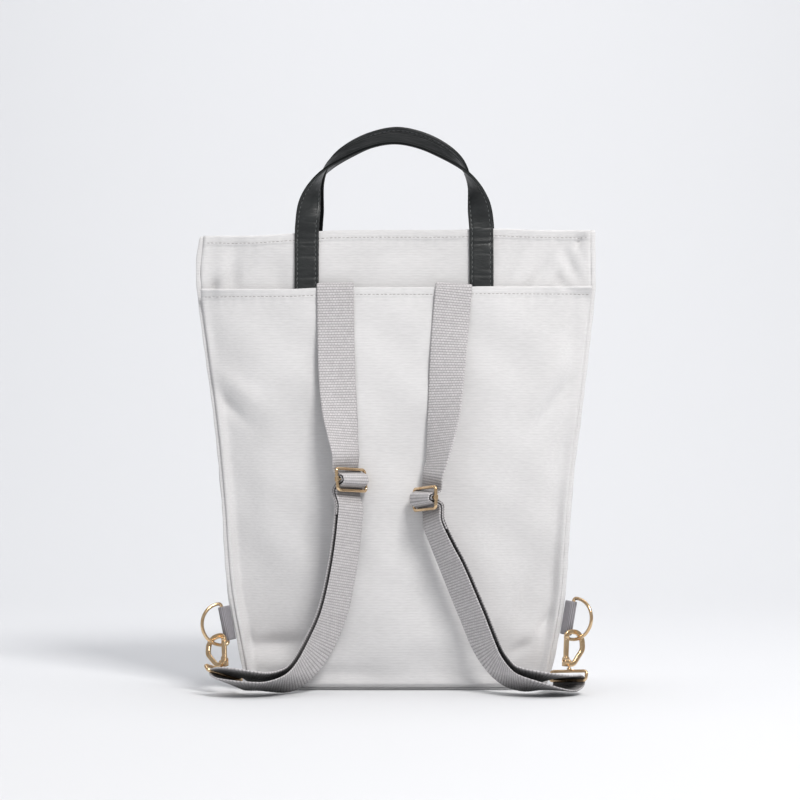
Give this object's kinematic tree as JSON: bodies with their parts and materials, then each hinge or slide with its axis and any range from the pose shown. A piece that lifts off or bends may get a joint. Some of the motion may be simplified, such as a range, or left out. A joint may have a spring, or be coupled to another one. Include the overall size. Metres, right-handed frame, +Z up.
{
  "type": "convertible backpack",
  "caption": "Open-topped canvas tote with leather carry handles and adjustable webbing shoulder straps that hook to rings at its lower corners.",
  "frame": {"origin": "centre of the base's underside, on the surface it stands on", "axes": "+Z up, -Y towards the shoulder straps' side, +X to the right as seen from that side"},
  "size_m": [0.4061, 0.189, 0.5708],
  "materials": {
    "canvas": "ribbed cotton canvas, pale warm grey, matt",
    "webbing": "woven cotton webbing, grey, cross ribs",
    "leather": "near-black leather, satin, edge stitched",
    "brass": "polished gold-coloured brass"
  },
  "bodies": {
    "pack": {"back_panel": "canvas", "front_panel": "canvas", "pocket_panel": "canvas", "base_panel": "canvas", "gusset_left": "canvas", "gusset_right": "canvas", "seam_back_left": "canvas", "seam_back_right": "canvas", "seam_front_left": "canvas", "seam_front_right": "canvas", "handle_back": "leather", "handle_front": "leather", "shoulder_strap_left": "webbing", "shoulder_strap_right": "webbing", "ring_loop_left": "webbing", "ring_loop_right": "webbing", "slider_frame_left": "brass", "slider_frame_right": "brass", "slider_bar_left": "brass", "slider_bar_right": "brass", "d_ring_left": "brass", "d_ring_right": "brass", "hook_body_left": "brass", "hook_body_right": "brass", "swivel_eye_left": "brass", "swivel_eye_right": "brass"},
    "gate_left": {"hook_gate_left": "brass"},
    "gate_right": {"hook_gate_right": "brass"}
  },
  "joints": [
    {"name": "gate_left_swing", "type": "hinge", "parent": "pack", "child": "gate_left", "pos_m": [-0.17028, -0.08054, 0.03449], "axis": [-0.5121, -0.7314, 0.4504], "range_deg": [0, 20], "stiffness_Nm_per_rad": 0.003, "springref_deg": -22.92},
    {"name": "gate_right_swing", "type": "hinge", "parent": "pack", "child": "gate_right", "pos_m": [0.16722, -0.07514, 0.03377], "axis": [-0.4939, 0.8554, -0.1562], "range_deg": [0, 20], "stiffness_Nm_per_rad": 0.003, "springref_deg": -22.92}
  ]
}
